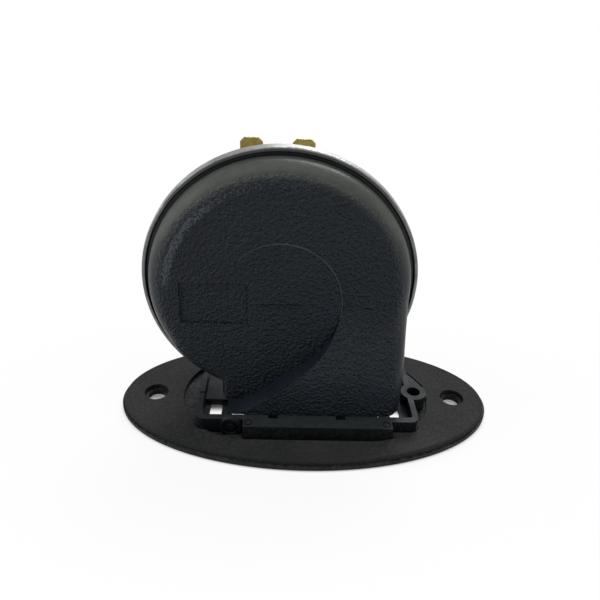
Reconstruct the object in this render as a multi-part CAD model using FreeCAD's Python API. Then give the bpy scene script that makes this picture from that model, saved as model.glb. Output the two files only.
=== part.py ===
"""Drop-in electric boat horn: a snail trumpet horn on an oval face plate. Millimetres, +Z up.

The oval face plate lies face down on z = 0, long axis along X. The horn stands on it with its mouth
down, and its own axis runs along Y: the trumpet faces -Y and the coil can faces +Y.
"""
import FreeCAD, Part
import math
import os
from FreeCAD import Vector

os.makedirs("parts", exist_ok=True)

# Face plate and gasket
OVAL_HALF_WIDTH = 29.8
PLATE_THICKNESS = 1.7
PLATE_EDGE_ROUND = 0.7
SCREW_END_MARGIN = 10.4
SCREW_HOLE_RADIUS = 2.7
SLOT_COUNT = 9
SLOT_PITCH = 7.0
SLOT_WIDTH = 3.8
SLOT_LENGTH = 23.6
GASKET_THICKNESS = 1.5
GASKET_SETBACK = 0.7
GASKET_HOLE_MARGIN = 1.05
GASKET_BRIDGE = 4.95
GASKET_EDGE_ROUND = 0.7
FRAME_GAP = 0.5
CUTOUT_END_RADIUS = 20.7
CUTOUT_PAST_BOSS = 0.65

# Horn axis and the rolled rim of the coil can
HORN_X = -9.0
RIM_RADIUS = 39.0
RIM_OVER_GASKET = 1.6
LIP_WIDTH = 1.3
LIP_THICKNESS = 1.0
CAN_WALL = 1.0
LIP_FRONT_Y = -1.2

# Trumpet shell
SHELL_GROOVE = 0.9
SHELL_WALL = 1.8
SHELL_DEPTH = 7.3
SHOULDER_RADIUS = 5.6
MOUTH_WIDTH = 53.5
MOUTH_DEPTH = 13.8
MOUTH_SHOULDER_LEFT = 4.6
LEVEL_SHOULDER_LEFT = 1.6
MOUTH_OVER_LIP = 0.3
MOUTH_EDGE_FLAT = 0.3
MOUTH_CORNER_RADIUS = 3.0
MOUTH_LIP_HEIGHT = 0.2
MOUTH_STRAIGHT_HEIGHT = 8.0
BULGE_HEIGHT = 33.0
BULGE_SIDE_PROUD = 0.12
BULGE_BLEND = 0.12
BULGE_STATIONS = (0.33, 0.67, 0.9)
BULGE_FADE_HEIGHT = 3.0
SEAT_LIP_INSET = 7.0
SPIRAL_RADIUS = 15.3
SPIRAL_GROWTH = 0.31
SPIRAL_START = math.radians(-10.0)
SPIRAL_END = math.radians(160.0)
SPIRAL_INNER_TURN = math.radians(300.0)
SPIRAL_SAMPLE = math.radians(15.0)
STEP_TURN_RADIUS = 11.0
LABEL_X = -18.4
LABEL_Z = -3.2
LABEL_WIDTH = 18.8
LABEL_HEIGHT = 12.8
LABEL_DEPTH = 0.35
MARK_LENGTH = 12.4
MARK_WIDTH = 0.5
MARK_RAISE = 0.2
MARK_GAP = 2.3
MARK_Z = -3.6

# Plate that closes the trumpet
BACK_PLATE_THICKNESS = 2.0
FLANGE_THICKNESS = 1.2
AIR_GAP = 0.7
DOME_WALL = 1.2
DOME_POCKET_RADIUS = 8.3
DOME_ROUND = 0.8
DOME_INNER_ROUND = 0.6
WINDOW_WIDTH = 8.0
WINDOW_ANGLE = math.radians(82.0)
FIT_GAP = 0.2

# Diaphragm stack
SEAL_THICKNESS = 0.3
SEAL_WIDTH = 4.4
DIAPHRAGM_THICKNESS = 0.4
DIAPHRAGM_RIDGE_RADIUS = 25.0
DIAPHRAGM_RIDGE_WIDTH = 3.0
DIAPHRAGM_RIDGE_HEIGHT = 0.5
CLAMP_CLEARANCE = 0.05
SPIGOT_RADIUS = 3.0
SPIGOT_PAST_NUT = 0.3
WASHER_THICKNESS = 0.6
FRONT_WASHER_RADIUS = 7.4
REAR_WASHER_RADIUS = 9.0
ARMATURE_NUT_ACROSS = 10.0
ARMATURE_NUT_HEIGHT = 2.6

# Coil can
CAN_SHELF = 5.0
DISH_DEPTH = 9.0
CUP_RADIUS = 18.5
CUP_DEPTH = 16.2
CUP_FLOOR = 1.2
RIM_ROUND = 0.8
CAN_OUTER_BEND = 2.1
CAN_INNER_BEND = 0.7

# Magnet
ARMATURE_RADIUS = 7.0
ARMATURE_LENGTH = 12.0
ARMATURE_FLANGE_RADIUS = 9.8
ARMATURE_FLANGE_THICKNESS = 1.2
ARMATURE_TRAVEL = 0.6
POLE_GAP = 0.2
CORE_RADIUS = 7.4
STUD_RADIUS = 3.9
STUD_LENGTH = 9.5
STUD_WASHER_RADIUS = 8.5
STUD_WASHER_THICKNESS = 1.4
LOCK_WASHER_RADIUS = 6.4
LOCK_WASHER_THICKNESS = 1.6
LOCK_WASHER_SPLIT = 1.0
STUD_NUT_ACROSS = 13.0
HEX_CHAMFER_SLOPE = 0.6
STUD_END_ROUND = 0.6
STUD_NUT_HEIGHT = 5.0
BOBBIN_WALL = 0.9
BOBBIN_SIDE_GAP = 0.4
BOBBIN_REAR_INSET = 0.8
WINDING_GAP = 0.1
WINDING_SHORT = 1.4
POLE_PLATE_RADIUS = 20.0
POLE_PLATE_THICKNESS = 1.6
POLE_PLATE_BORE_GAP = 1.2

# Breaker
BREAKER_INSET = 8.0
LEAF_THICKNESS = 0.4
LEAF_WIDTH = 7.0
LEAF_UNDER_FLANGE = 1.4
LEAF_GAP = 0.3
LEAF_HOLE_GAP = 1.0
POINT_RADIUS = 1.6
POINT_HEIGHT = 0.7
POINT_FROM_RIVET = 10.0
ARM_THICKNESS = 0.8
ARM_OVER_RIVET = 0.9
ARM_WIDTH = 6.0
ARM_PAST_POINT = 2.4
INSULATOR_RADIUS = 4.2
INSULATOR_CAP = 0.6
RIVET_RADIUS = 1.6
RIVET_HEAD_RADIUS = 2.8
RIVET_HEAD_HEIGHT = 0.8
ADJUSTER_FROM_RIVET = 4.0
ADJUSTER_Z = -7.5
ADJUSTER_RADIUS = 2.0
ADJUSTER_HEAD_RADIUS = 3.4
ADJUSTER_HEAD_HEIGHT = 2.0
ADJUSTER_SLOT = 0.9
EAR_HALF_WIDTH = 3.0
EAR_PAST_ADJUSTER = 2.6

# Terminals
TERMINAL_X = (-18.0, -3.5)
TAB_WIDTH = 6.3
TAB_THICKNESS = 0.8
TAB_UNDER_RIM = 1.8
TAB_BELOW_RIVET = 4.0
TAB_CHAMFER = 1.2
TAB_HOLE_RADIUS = 0.85
TAB_HOLE_BELOW_TOP = 3.9
BLOCK_THICKNESS = 2.0
BLOCK_SIDE = 3.3
BLOCK_BELOW_RIVET = 5.0
BLOCK_OVER_RIVET = 4.0
BLOCK_ROUND = 1.5
RIVET_INSET = 8.5
TERMINAL_WASHER_RADIUS = 3.6
TERMINAL_WASHER_THICKNESS = 0.8
TERMINAL_HOLE_GAP = 0.8

# Collar round the mouth
COLLAR_HEIGHT = 5.1
COLLAR_WALL = 2.1
COLLAR_LEFT_WALL = 1.6
COLLAR_RIGHT_WALL = 1.7
COLLAR_FRONT_GAP = 0.2
COLLAR_LEFT_GAP = 5.7
COLLAR_RIGHT_GAP = 3.7
COLLAR_BACK_Y = 13.0
COLLAR_BACK_HEIGHT = 2.6
COLLAR_FLOOR = 1.2
COLLAR_FLOOR_Y = -2.8
COLLAR_LEDGE_WIDTH = 2.6
COLLAR_CORNER = 2.6
COLLAR_INNER_CORNER = 0.9
LEFT_WALL_END_Y = 5.0
WALL_SPLIT_Y = -4.2
WALL_SPLIT_WIDTH = 0.6
WALL_SPLIT_DEPTH = 1.2
NOTCH_FROM_LEFT = (21.2, 41.2)
NOTCH_WIDTH = 2.8
NOTCH_DEPTH = 1.5
NOTCH_HEIGHT = 2.5
RIB_LEFT_INSET = 12.5
RIB_RIGHT_INSET = 6.7
RIB_DEPTH = 3.1
RIB_PIN_INSET = 1.6
RIB_PIN_RADIUS = 1.25
RIB_PIN_RING = 0.4
RIB_PIN_SETBACK = 1.24
SIDE_BOSS_OUT = 2.4
SIDE_BOSS_Y = -1.9
SIDE_BOSS_RADIUS = 3.95
SIDE_BOSS_HOLE = 2.1
GUSSET_OVER_GASKET = 0.2
GUSSET_CORNER_Y = 6.0
GUSSET_PAST_WALL = 1.0
GUSSET_GAP = 0.9
FRONT_BOSS_FROM_LEFT = 8.8
FRONT_BOSS_HEIGHT = 2.7
FRONT_BOSS_RADIUS = 3.2
FRONT_BOSS_LENGTH = 0.9
FRONT_BOSS_RING = 0.9
FRONT_BOSS_HUB = 1.2
FRONT_BOSS_SINK = 0.5

# Allowances used while shapes are joined and cut
CUT_PAST = 1.0
FAR_PAST = 5.0
JOIN_DEPTH = 0.5
SAME_PLACE = 1e-3
SMALL_TURN = 1e-4
NEARLY_ALL = 0.995
TIGHT_GAP = 0.02
EDGE_BREAK = 0.3
FINE_EDGE = 0.2
EDGE_ROUND = 0.4

# Places that follow from the sizes above
PLATE_TOP = PLATE_THICKNESS
GASKET_TOP = PLATE_TOP + GASKET_THICKNESS
HORN_Z = GASKET_TOP + RIM_OVER_GASKET + RIM_RADIUS
SHELL_RADIUS = RIM_RADIUS - LIP_WIDTH - SHELL_GROOVE
FLANGE_Y = LIP_FRONT_Y + LIP_THICKNESS
DISC_Y = FLANGE_Y - SHELL_DEPTH
MOUTH_FRONT_Y = FLANGE_Y - MOUTH_DEPTH
MOUTH_REAR_Y = LIP_FRONT_Y - MOUTH_OVER_LIP
MOUTH_RIGHT = HORN_X + SHELL_RADIUS
MOUTH_LEFT = MOUTH_RIGHT - MOUTH_WIDTH
COLLAR_TOP = PLATE_TOP + COLLAR_HEIGHT
COLLAR_LEFT = MOUTH_LEFT - COLLAR_LEFT_GAP
COLLAR_RIGHT = MOUTH_RIGHT + COLLAR_RIGHT_GAP
COLLAR_FRONT = MOUTH_FRONT_Y - COLLAR_FRONT_GAP
COLLAR_FACE = COLLAR_FRONT - COLLAR_WALL
COLLAR_OUTER_LEFT = COLLAR_LEFT - COLLAR_LEFT_WALL
COLLAR_OUTER_RIGHT = COLLAR_RIGHT + COLLAR_RIGHT_WALL
COLLAR_OUTER_BACK = COLLAR_BACK_Y + COLLAR_WALL
RIB_LEFT = COLLAR_LEFT + RIB_LEFT_INSET
RIB_RIGHT = COLLAR_RIGHT - RIB_RIGHT_INSET
SIDE_BOSS_X = COLLAR_RIGHT + SIDE_BOSS_OUT
FRONT_BOSS_X = COLLAR_LEFT + FRONT_BOSS_FROM_LEFT
FRONT_BOSS_Z = PLATE_TOP + FRONT_BOSS_HEIGHT
CUTOUT_HALF_LENGTH = SIDE_BOSS_X + SIDE_BOSS_RADIUS + CUTOUT_PAST_BOSS
SCREW_X = CUTOUT_HALF_LENGTH + GASKET_BRIDGE + SCREW_HOLE_RADIUS + GASKET_HOLE_MARGIN
OVAL_HALF_LENGTH = SCREW_X + SCREW_END_MARGIN
MOUTH_BOTTOM = COLLAR_TOP
CHAMBER_Y = FLANGE_Y + FLANGE_THICKNESS + SEAL_THICKNESS - AIR_GAP
BACK_PLATE_FRONT_Y = CHAMBER_Y - BACK_PLATE_THICKNESS
DIAPHRAGM_Y = FLANGE_Y + FLANGE_THICKNESS + SEAL_THICKNESS
DIAPHRAGM_BACK_Y = DIAPHRAGM_Y + DIAPHRAGM_THICKNESS
STACK_RADIUS = RIM_RADIUS - CAN_WALL - FIT_GAP
CAN_SEAT_Y = DIAPHRAGM_BACK_Y + SEAL_THICKNESS
DISH_RADIUS = RIM_RADIUS - CAN_SHELF
BREAKER_X = BREAKER_INSET - DISH_RADIUS
POINT_X = BREAKER_X + POINT_FROM_RIVET
ADJUSTER_X = BREAKER_X + ADJUSTER_FROM_RIVET
RIVET_HEIGHT = DISH_RADIUS - RIVET_INSET
TAB_TOP = RIM_RADIUS - TAB_UNDER_RIM
TAB_BOTTOM = RIVET_HEIGHT - TAB_BELOW_RIVET
BLOCK_BOTTOM = RIVET_HEIGHT - BLOCK_BELOW_RIVET
BLOCK_TOP = RIVET_HEIGHT + BLOCK_OVER_RIVET
DISH_FLOOR_Y = CAN_SEAT_Y + DISH_DEPTH
DISH_BACK_Y = DISH_FLOOR_Y + CAN_WALL
CUP_FLOOR_Y = DISH_BACK_Y + CUP_DEPTH - CUP_FLOOR
CUP_BACK_Y = CUP_FLOOR_Y + CUP_FLOOR
ARMATURE_FRONT_Y = DIAPHRAGM_BACK_Y + CLAMP_CLEARANCE + WASHER_THICKNESS
ARMATURE_BACK_Y = ARMATURE_FRONT_Y + ARMATURE_LENGTH
CORE_Y = ARMATURE_BACK_Y + ARMATURE_TRAVEL + POLE_GAP
BORE_RADIUS = CORE_RADIUS + FIT_GAP
POLE_PLATE_Y = DISH_FLOOR_Y - POLE_PLATE_THICKNESS


def vec(x, y, z=0.0):
    return Vector(x, y, z)


def rounded_wire(corners):
    """Closed wire in the XY plane through (x, y, radius) corners, each rounded by its radius."""
    count = len(corners)
    starts = []
    ends = []
    mids = []
    for i in range(count):
        before = vec(*corners[i - 1][:2])
        here = vec(*corners[i][:2])
        after = vec(*corners[(i + 1) % count][:2])
        radius = corners[i][2]
        if radius <= 0.0:
            starts.append(here)
            ends.append(here)
            mids.append(None)
            continue
        back = (before - here).normalize()
        ahead = (after - here).normalize()
        half = 0.5 * back.getAngle(ahead)
        reach = radius / math.tan(half)
        centre_line = (back + ahead).normalize()
        centre = here + centre_line * (radius / math.sin(half))
        starts.append(here + back * reach)
        ends.append(here + ahead * reach)
        mids.append(centre - centre_line * radius)
    edges = []
    for i in range(count):
        if mids[i] is not None:
            edges.append(Part.Arc(starts[i], mids[i], ends[i]).toShape())
        following = starts[(i + 1) % count]
        if (following - ends[i]).Length > SAME_PLACE:
            edges.append(Part.LineSegment(ends[i], following).toShape())
    return Part.Wire(Part.__sortEdges__(edges))


def prism(corners, bottom, top):
    """Solid between two heights over a rounded outline."""
    face = Part.Face(rounded_wire(corners))
    face.translate(vec(0, 0, bottom))
    return face.extrude(vec(0, 0, top - bottom))


def block(low, high, radius=0.0):
    """Upright box between two corners, its vertical edges rounded."""
    corners = [
        (low[0], low[1], radius),
        (high[0], low[1], radius),
        (high[0], high[1], radius),
        (low[0], high[1], radius),
    ]
    return prism(corners, low[2], high[2])


def to_horn(shape, x=0.0, z=0.0):
    """Turns a shape made round the Z axis so that its axis lies on the horn's axis, along +Y."""
    turned = shape.copy()
    turned.rotate(vec(0, 0, 0), vec(1, 0, 0), -90)
    turned.translate(vec(HORN_X + x, 0, HORN_Z + z))
    return turned


def turned(profile, x=0.0, z=0.0):
    """Revolves (radius, depth, rounding) corners about the horn's axis or a line beside it."""
    face = Part.Face(rounded_wire(profile))
    face.rotate(vec(0, 0, 0), vec(1, 0, 0), 90)
    return to_horn(face.revolve(vec(0, 0, 0), vec(0, 0, 1), 360), x, z)


def disc(radius, front, back, x=0.0, z=0.0):
    """Plain round piece on an axis along Y."""
    return to_horn(Part.makeCylinder(radius, back - front, vec(0, 0, front)), x, z)


def ring(outer, inner, front, back, x=0.0, z=0.0):
    return disc(outer, front, back, x, z).cut(disc(inner, front - CUT_PAST, back + CUT_PAST, x, z))


def hexagon(across, bore, front, back):
    """Hexagon nut on the horn's axis, its corners chamfered by a cone."""
    corner = across / math.sqrt(3.0)
    points = []
    for k in range(6):
        angle = math.radians(60.0 * k)
        points.append((corner * math.cos(angle), corner * math.sin(angle), 0.0))
    nut = to_horn(prism(points, front, back))
    trim = corner - 0.5 * across
    fall = HEX_CHAMFER_SLOPE * trim
    cap = [
        (0.0, front, 0.0),
        (corner - trim, front, 0.0),
        (corner + SAME_PLACE, front + fall, 0.0),
        (corner + SAME_PLACE, back - fall, 0.0),
        (corner - trim, back, 0.0),
        (0.0, back, 0.0),
    ]
    return nut.common(turned(cap)).cut(disc(bore, front - CUT_PAST, back + CUT_PAST))


def oval(half_length, half_width, bottom, top):
    ellipse = Part.Ellipse(vec(0, 0, bottom), half_length, half_width)
    return Part.Face(Part.Wire(ellipse.toShape())).extrude(vec(0, 0, top - bottom))


def stadium(half_length, radius, bottom, top):
    corners = [
        (-half_length, -radius, radius * NEARLY_ALL),
        (half_length, -radius, radius * NEARLY_ALL),
        (half_length, radius, radius * NEARLY_ALL),
        (-half_length, radius, radius * NEARLY_ALL),
    ]
    return prism(corners, bottom, top)


def screw_holes(radius, bottom, top):
    holes = []
    for side in (-1, 1):
        holes.append(Part.makeCylinder(radius, top - bottom, vec(side * SCREW_X, 0, bottom)))
    return holes


def make_face_plate():
    plate = oval(OVAL_HALF_LENGTH, OVAL_HALF_WIDTH, 0.0, PLATE_THICKNESS)
    rim_edges = [e for e in plate.Edges if e.BoundBox.ZMax < SAME_PLACE]
    plate = plate.makeFillet(PLATE_EDGE_ROUND, rim_edges)
    slots = []
    for k in range(SLOT_COUNT):
        x = (k - 0.5 * (SLOT_COUNT - 1)) * SLOT_PITCH
        low = (x - 0.5 * SLOT_WIDTH, -0.5 * SLOT_LENGTH, -CUT_PAST)
        high = (x + 0.5 * SLOT_WIDTH, 0.5 * SLOT_LENGTH, PLATE_TOP + CUT_PAST)
        slots.append(block(low, high, 0.5 * NEARLY_ALL * SLOT_WIDTH))
    return plate.cut(slots + screw_holes(SCREW_HOLE_RADIUS, -CUT_PAST, PLATE_TOP + CUT_PAST))


def gusset_prism(margin, bottom, top):
    """Low web behind the right boss, grown outwards by the margin."""
    wall = COLLAR_RIGHT + 0.5 * COLLAR_RIGHT_WALL
    far = SIDE_BOSS_X + SIDE_BOSS_RADIUS + margin
    corners = [
        (wall, SIDE_BOSS_Y, 0.0),
        (far, SIDE_BOSS_Y, 0.0),
        (far, GUSSET_CORNER_Y, 0.0),
        (COLLAR_OUTER_RIGHT + GUSSET_PAST_WALL + margin, COLLAR_OUTER_BACK - COLLAR_CORNER, 0.0),
        (wall, COLLAR_OUTER_BACK - COLLAR_CORNER, 0.0),
    ]
    return prism(corners, bottom, top)


def make_gasket():
    gasket = oval(
        OVAL_HALF_LENGTH - GASKET_SETBACK, OVAL_HALF_WIDTH - GASKET_SETBACK, PLATE_TOP, GASKET_TOP
    )
    upper = [e for e in gasket.Edges if e.BoundBox.ZMin > GASKET_TOP - SAME_PLACE]
    gasket = gasket.makeFillet(GASKET_EDGE_ROUND, upper)
    low = PLATE_TOP - CUT_PAST
    high = GASKET_TOP + CUT_PAST
    opening = stadium(CUTOUT_HALF_LENGTH, CUTOUT_END_RADIUS, low, high)
    tab = block(
        (RIB_RIGHT + FRAME_GAP, -OVAL_HALF_WIDTH, low - CUT_PAST),
        (CUTOUT_HALF_LENGTH + FRAME_GAP, COLLAR_FACE - FRAME_GAP, high + CUT_PAST),
    )
    opening = opening.cut(tab)
    room = block(
        (COLLAR_OUTER_LEFT - FRAME_GAP, COLLAR_FACE - FRAME_GAP, low),
        (COLLAR_OUTER_RIGHT + FRAME_GAP, COLLAR_OUTER_BACK + FRAME_GAP, high),
        COLLAR_CORNER + FRAME_GAP,
    )
    boss_place = vec(SIDE_BOSS_X, SIDE_BOSS_Y, low)
    boss_room = Part.makeCylinder(SIDE_BOSS_RADIUS + FRAME_GAP, high - low, boss_place)
    opening = opening.fuse([room, boss_room, gusset_prism(GUSSET_GAP, low, high)])
    holes = screw_holes(SCREW_HOLE_RADIUS + GASKET_HOLE_MARGIN, low, high)
    return gasket.cut([opening] + holes)


def collar_frame():
    """Four walls round the mouth, with the back wall and the end of the left wall kept low."""
    outline = [
        (COLLAR_OUTER_LEFT, COLLAR_FACE, COLLAR_CORNER),
        (COLLAR_OUTER_RIGHT, COLLAR_FACE, COLLAR_CORNER),
        (COLLAR_OUTER_RIGHT, COLLAR_OUTER_BACK, COLLAR_CORNER),
        (COLLAR_OUTER_LEFT, COLLAR_OUTER_BACK, COLLAR_CORNER),
    ]
    frame = prism(outline, PLATE_TOP, COLLAR_TOP)
    high = COLLAR_TOP + CUT_PAST
    inside = block(
        (COLLAR_LEFT, COLLAR_FRONT, PLATE_TOP - CUT_PAST),
        (COLLAR_RIGHT, COLLAR_BACK_Y, high),
        COLLAR_INNER_CORNER,
    )
    low_wall = PLATE_TOP + COLLAR_BACK_HEIGHT
    over_back = block(
        (COLLAR_LEFT, COLLAR_BACK_Y - COLLAR_INNER_CORNER, low_wall),
        (COLLAR_RIGHT, COLLAR_OUTER_BACK + CUT_PAST, high),
    )
    over_left = block(
        (COLLAR_OUTER_LEFT - CUT_PAST, LEFT_WALL_END_Y, low_wall),
        (COLLAR_LEFT + CUT_PAST, COLLAR_OUTER_BACK + CUT_PAST, high),
    )
    split = block(
        (COLLAR_OUTER_LEFT - CUT_PAST, WALL_SPLIT_Y - 0.5 * WALL_SPLIT_WIDTH, COLLAR_TOP - WALL_SPLIT_DEPTH),
        (COLLAR_LEFT + CUT_PAST, WALL_SPLIT_Y + 0.5 * WALL_SPLIT_WIDTH, high),
    )
    return frame.cut([inside, over_back, over_left, split])


def notch_cutters():
    """Small notches along the back edge of the front wall's top."""
    cutters = []
    for from_left in NOTCH_FROM_LEFT:
        x = COLLAR_LEFT + from_left
        cutters.append(
            block(
                (x - 0.5 * NOTCH_WIDTH, COLLAR_FRONT - NOTCH_DEPTH, COLLAR_TOP - NOTCH_HEIGHT),
                (x + 0.5 * NOTCH_WIDTH, COLLAR_FRONT + CUT_PAST, COLLAR_TOP + CUT_PAST),
            )
        )
    return cutters


def ring_cutter(outer_radius, inner_radius, depth, base, axis):
    """Ring-shaped groove, cut from its base along the axis and a little past the face."""
    length = depth + CUT_PAST
    outer = Part.makeCylinder(outer_radius, length, base, axis)
    return outer.cut(Part.makeCylinder(inner_radius, length, base, axis))


def make_collar():
    floor_top = PLATE_TOP + COLLAR_FLOOR
    floor = block(
        (COLLAR_LEFT - JOIN_DEPTH, COLLAR_FLOOR_Y, PLATE_TOP),
        (COLLAR_RIGHT + JOIN_DEPTH, COLLAR_BACK_Y + JOIN_DEPTH, floor_top),
    )
    lip_room = block(
        (MOUTH_LEFT + SEAT_LIP_INSET - FIT_GAP, COLLAR_FLOOR_Y - CUT_PAST, PLATE_TOP - CUT_PAST),
        (MOUTH_RIGHT - SEAT_LIP_INSET + FIT_GAP, MOUTH_REAR_Y + FIT_GAP, floor_top + CUT_PAST),
    )
    ledge = block(
        (COLLAR_RIGHT - COLLAR_LEDGE_WIDTH, COLLAR_FRONT - JOIN_DEPTH, PLATE_TOP),
        (COLLAR_RIGHT + JOIN_DEPTH, COLLAR_FLOOR_Y + JOIN_DEPTH, floor_top),
    )
    rib = block(
        (RIB_LEFT, COLLAR_FACE - RIB_DEPTH, PLATE_TOP), (RIB_RIGHT, COLLAR_FACE + JOIN_DEPTH, COLLAR_TOP)
    )
    side_boss = Part.makeCylinder(
        SIDE_BOSS_RADIUS, COLLAR_HEIGHT, vec(SIDE_BOSS_X, SIDE_BOSS_Y, PLATE_TOP)
    )
    gusset = gusset_prism(0.0, PLATE_TOP, GASKET_TOP + GUSSET_OVER_GASKET)
    forward = vec(0, -1, 0)
    front_boss = Part.makeCylinder(
        FRONT_BOSS_RADIUS,
        FRONT_BOSS_LENGTH + JOIN_DEPTH,
        vec(FRONT_BOSS_X, COLLAR_FACE + JOIN_DEPTH, FRONT_BOSS_Z),
        forward,
    )
    above_plate = block((-OVAL_HALF_LENGTH, -OVAL_HALF_WIDTH, PLATE_TOP), (OVAL_HALF_LENGTH, 0, HORN_Z))
    additions = [floor.cut(lip_room), ledge, rib, side_boss, gusset, front_boss.common(above_plate)]
    frame = collar_frame().fuse(additions).removeSplitter()
    side_hole = Part.makeCylinder(
        SIDE_BOSS_HOLE, COLLAR_HEIGHT + 2 * CUT_PAST, vec(SIDE_BOSS_X, SIDE_BOSS_Y, PLATE_TOP - CUT_PAST)
    )
    cuts = [side_hole] + notch_cutters()
    for x in (RIB_LEFT + RIB_PIN_INSET, RIB_RIGHT - RIB_PIN_INSET):
        base = vec(x, COLLAR_FACE - RIB_PIN_SETBACK, COLLAR_TOP - RIB_PIN_RING)
        inner_radius = RIB_PIN_RADIUS - RIB_PIN_RING
        cuts.append(ring_cutter(RIB_PIN_RADIUS, inner_radius, RIB_PIN_RING, base, vec(0, 0, 1)))
    face_y = COLLAR_FACE - FRONT_BOSS_LENGTH
    base = vec(FRONT_BOSS_X, face_y + FRONT_BOSS_SINK, FRONT_BOSS_Z)
    groove_radius = FRONT_BOSS_RADIUS - FRONT_BOSS_RING
    cuts.append(ring_cutter(groove_radius, FRONT_BOSS_HUB, FRONT_BOSS_SINK, base, forward))
    return frame.cut(cuts)


def spiral_radius(angle):
    """Radius of the channel's inner wall, by angle clockwise from the top as seen from the front."""
    past = angle - SPIRAL_START
    if past > 0.0:
        return SPIRAL_RADIUS + SPIRAL_GROWTH * past ** 3
    inner = DOME_POCKET_RADIUS + DOME_WALL
    return SPIRAL_RADIUS + (SPIRAL_RADIUS - inner) * past / SPIRAL_INNER_TURN


def spiral_point(angle, offset=0.0):
    """Point (x, z) on the spiral, moved outwards along its normal by the offset."""
    here = vec(spiral_radius(angle) * math.sin(angle), spiral_radius(angle) * math.cos(angle))
    nearby = angle + SMALL_TURN
    ahead = vec(spiral_radius(nearby) * math.sin(nearby), spiral_radius(nearby) * math.cos(nearby))
    along = (ahead - here).normalize()
    normal = vec(-along.y, along.x)
    point = here + normal * offset
    return vec(HORN_X + point.x, HORN_Z + point.y)


def spiral_edge(first, last, offset=0.0):
    steps = max(4, int(round((last - first) / SPIRAL_SAMPLE)))
    points = [spiral_point(first + (last - first) * k / steps, offset) for k in range(steps + 1)]
    curve = Part.BSplineCurve()
    curve.interpolate(points)
    return curve.toShape()


def step_run(offset=0.0):
    """Edges of the step from the spiral's end down to the mouth's left wall, in the XY plane."""
    end = spiral_point(SPIRAL_END, offset)
    slope = (spiral_point(SPIRAL_END + SMALL_TURN, offset) - end).normalize()
    level = MOUTH_BOTTOM + MOUTH_LIP_HEIGHT - offset
    turn = math.acos(-slope.x)
    radius = STEP_TURN_RADIUS + offset
    reach = radius * math.tan(0.5 * turn)
    corner = end + slope * ((level - end.y) / slope.y)
    start = corner - slope * reach
    finish = corner + vec(-reach, 0)
    centre = finish + vec(0, radius)
    middle = centre + ((start + finish) * 0.5 - centre).normalize() * radius
    left = vec(MOUTH_LEFT - FAR_PAST, level)
    return [
        Part.LineSegment(end, start).toShape(),
        Part.Arc(start, middle, finish).toShape(),
        Part.LineSegment(finish, left).toShape(),
    ], end, left


def stand_up(face, front, back):
    """Turns a face drawn in (x, z) upright and makes it a solid from the front y to the back y."""
    face = face.copy()
    face.rotate(vec(0, 0, 0), vec(1, 0, 0), 90)
    face.translate(vec(0, back, 0))
    return face.extrude(vec(0, front - back, 0))


def channel_side(offset, front, back):
    """Everything right of and below the step line, as a prism along Y."""
    run, end, left = step_run(offset)
    start = spiral_point(SPIRAL_START, offset)
    spiral = spiral_edge(SPIRAL_START, SPIRAL_END, offset)
    far = MOUTH_RIGHT + FAR_PAST
    low = MOUTH_BOTTOM - FAR_PAST
    corners = [start, vec(start.x, HORN_Z + RIM_RADIUS), vec(far, HORN_Z + RIM_RADIUS), vec(far, low),
               vec(left.x, low), left]
    edges = [spiral] + run
    for a, b in zip(corners[:-1], corners[1:]):
        edges.append(Part.LineSegment(a, b).toShape())
    return stand_up(Part.Face(Part.Wire(Part.__sortEdges__(edges))), front, back)


def mouth_section(height, depth, inset, rear, left_radius, proud=0.0):
    """Cross-section of the mouth at one height, rounded at its two front corners."""
    front = FLANGE_Y - depth + inset
    largest = rear - front - MOUTH_EDGE_FLAT
    corners = [
        (MOUTH_LEFT + inset - proud, front, min(max(left_radius - inset, FINE_EDGE), largest)),
        (MOUTH_RIGHT - inset + proud, front, min(SHOULDER_RADIUS - inset, largest)),
        (MOUTH_RIGHT - inset + proud, rear, 0.0),
        (MOUTH_LEFT + inset - proud, rear, 0.0),
    ]
    wire = rounded_wire(corners)
    wire.translate(vec(0, 0, height))
    return wire


def bulge_depth(height):
    """Depth of the mouth's front wall, full near the mouth and easing back into the disc above."""
    share = (height - MOUTH_BOTTOM - MOUTH_STRAIGHT_HEIGHT) / (BULGE_HEIGHT - MOUTH_STRAIGHT_HEIGHT)
    share = min(max(share, 0.0), 1.0)
    ease = share * share * (3.0 - 2.0 * share)
    return MOUTH_DEPTH + (SHELL_DEPTH - MOUTH_DEPTH) * ease


def mouth_body(inset, rear, bottom):
    """Disc-level part of the mouth and the bulged channel side, joined."""
    level = Part.Face(mouth_section(bottom, SHELL_DEPTH, inset, rear, LEVEL_SHOULDER_LEFT))
    level = level.extrude(vec(0, 0, HORN_Z - bottom))
    heights = [bottom]
    for share in (0.5, 1.0):
        heights.append(MOUTH_BOTTOM + MOUTH_STRAIGHT_HEIGHT * share)
    rise = BULGE_HEIGHT - MOUTH_STRAIGHT_HEIGHT
    for share in BULGE_STATIONS:
        heights.append(MOUTH_BOTTOM + MOUTH_STRAIGHT_HEIGHT + rise * share)
    sections = []
    for height in heights:
        depth = bulge_depth(height) + BULGE_BLEND
        sections.append(mouth_section(height, depth, inset, rear, MOUTH_SHOULDER_LEFT, BULGE_SIDE_PROUD))
    top = MOUTH_BOTTOM + BULGE_HEIGHT + BULGE_FADE_HEIGHT
    depth = SHELL_DEPTH - BULGE_BLEND
    sections.append(mouth_section(top, depth, inset, rear, MOUTH_SHOULDER_LEFT, -BULGE_SIDE_PROUD))
    bulge = Part.makeLoft(sections, True, False)
    side = channel_side(inset, MOUTH_FRONT_Y - FAR_PAST, rear + CUT_PAST)
    return level.fuse(bulge.common(side))


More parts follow.
